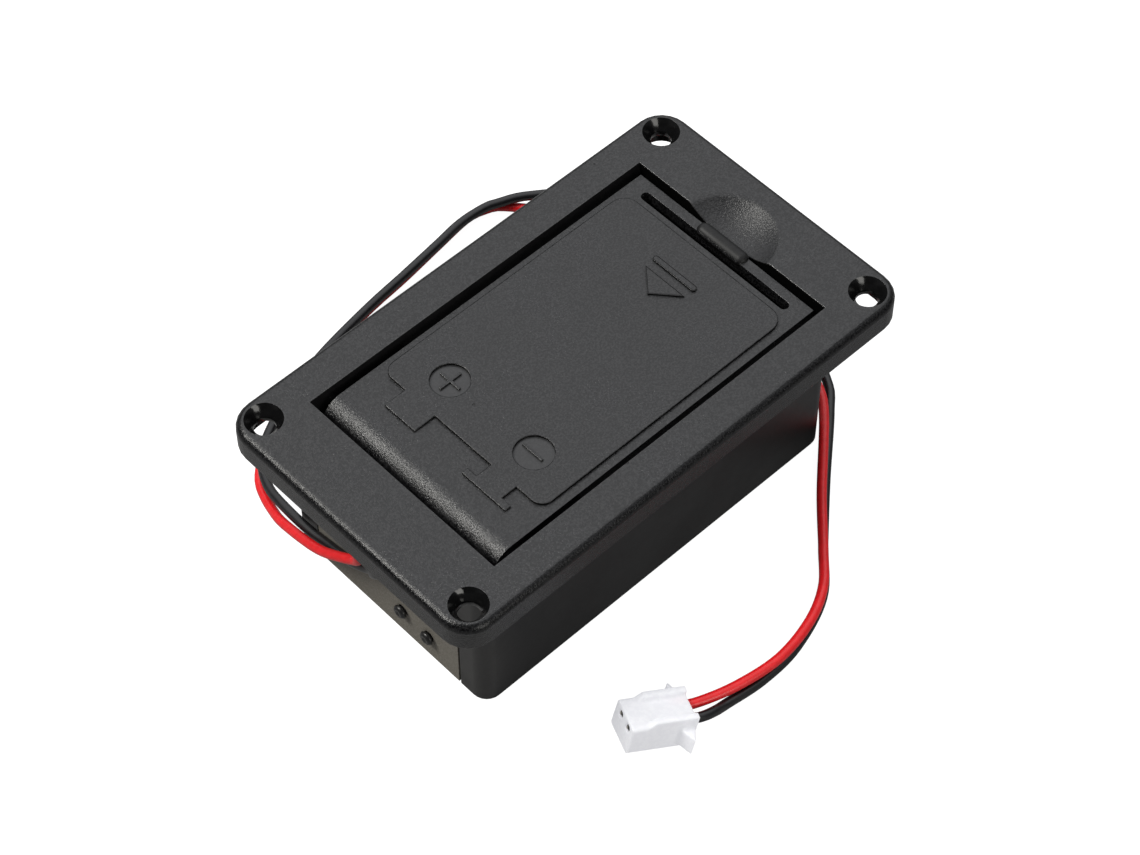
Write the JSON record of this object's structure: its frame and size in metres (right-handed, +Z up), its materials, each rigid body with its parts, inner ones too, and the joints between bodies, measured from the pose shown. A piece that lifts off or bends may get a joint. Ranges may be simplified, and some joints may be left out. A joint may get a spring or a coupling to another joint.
{
  "type": "nine volt battery holder",
  "caption": "Panel-mounted black battery box with a screw flange, a snap flip lid with a finger scoop, and a red and a black lead that end in a white two-way plug.",
  "frame": {"origin": "underside of the box, below the middle of the flange, which is the plane that the holder and its leads stand on", "axes": "+X runs along the holder towards the lid's latch and finger scoop, +Y across it towards the positive contact, +Z up out of the flange"},
  "size_m": [0.0878, 0.0908, 0.029],
  "materials": {
    "black_plastic": "fine spark-eroded grain, satin",
    "grey_fibre_sheet": "matte pressed fibre sheet",
    "black_foam": "matte open foam",
    "nickel_plate": "nickel-plated spring strip",
    "solder": "dull bright solder",
    "tinned_brass": "tin plated",
    "red_vinyl": "glossy vinyl insulation",
    "black_vinyl": "glossy vinyl insulation",
    "white_nylon": "milky natural nylon"
  },
  "bodies": {
    "holder": {"housing": "black_plastic", "end_cover": "grey_fibre_sheet", "positive_contact": "nickel_plate", "negative_contact": "nickel_plate", "red_solder_joint": "solder", "black_solder_joint": "solder", "red_wire": "red_vinyl", "black_wire": "black_vinyl", "plug_housing": "white_nylon", "red_crimp_terminal": "tinned_brass", "black_crimp_terminal": "tinned_brass"},
    "lid": {"lid": "black_plastic", "lid_pad": "black_foam"}
  },
  "joints": [
    {"name": "lid_hinge", "type": "hinge", "parent": "holder", "child": "lid", "pos_m": [-0.0269, 0, 0.0247], "axis": [0, -1, 0], "range_deg": [0, 95]}
  ]
}
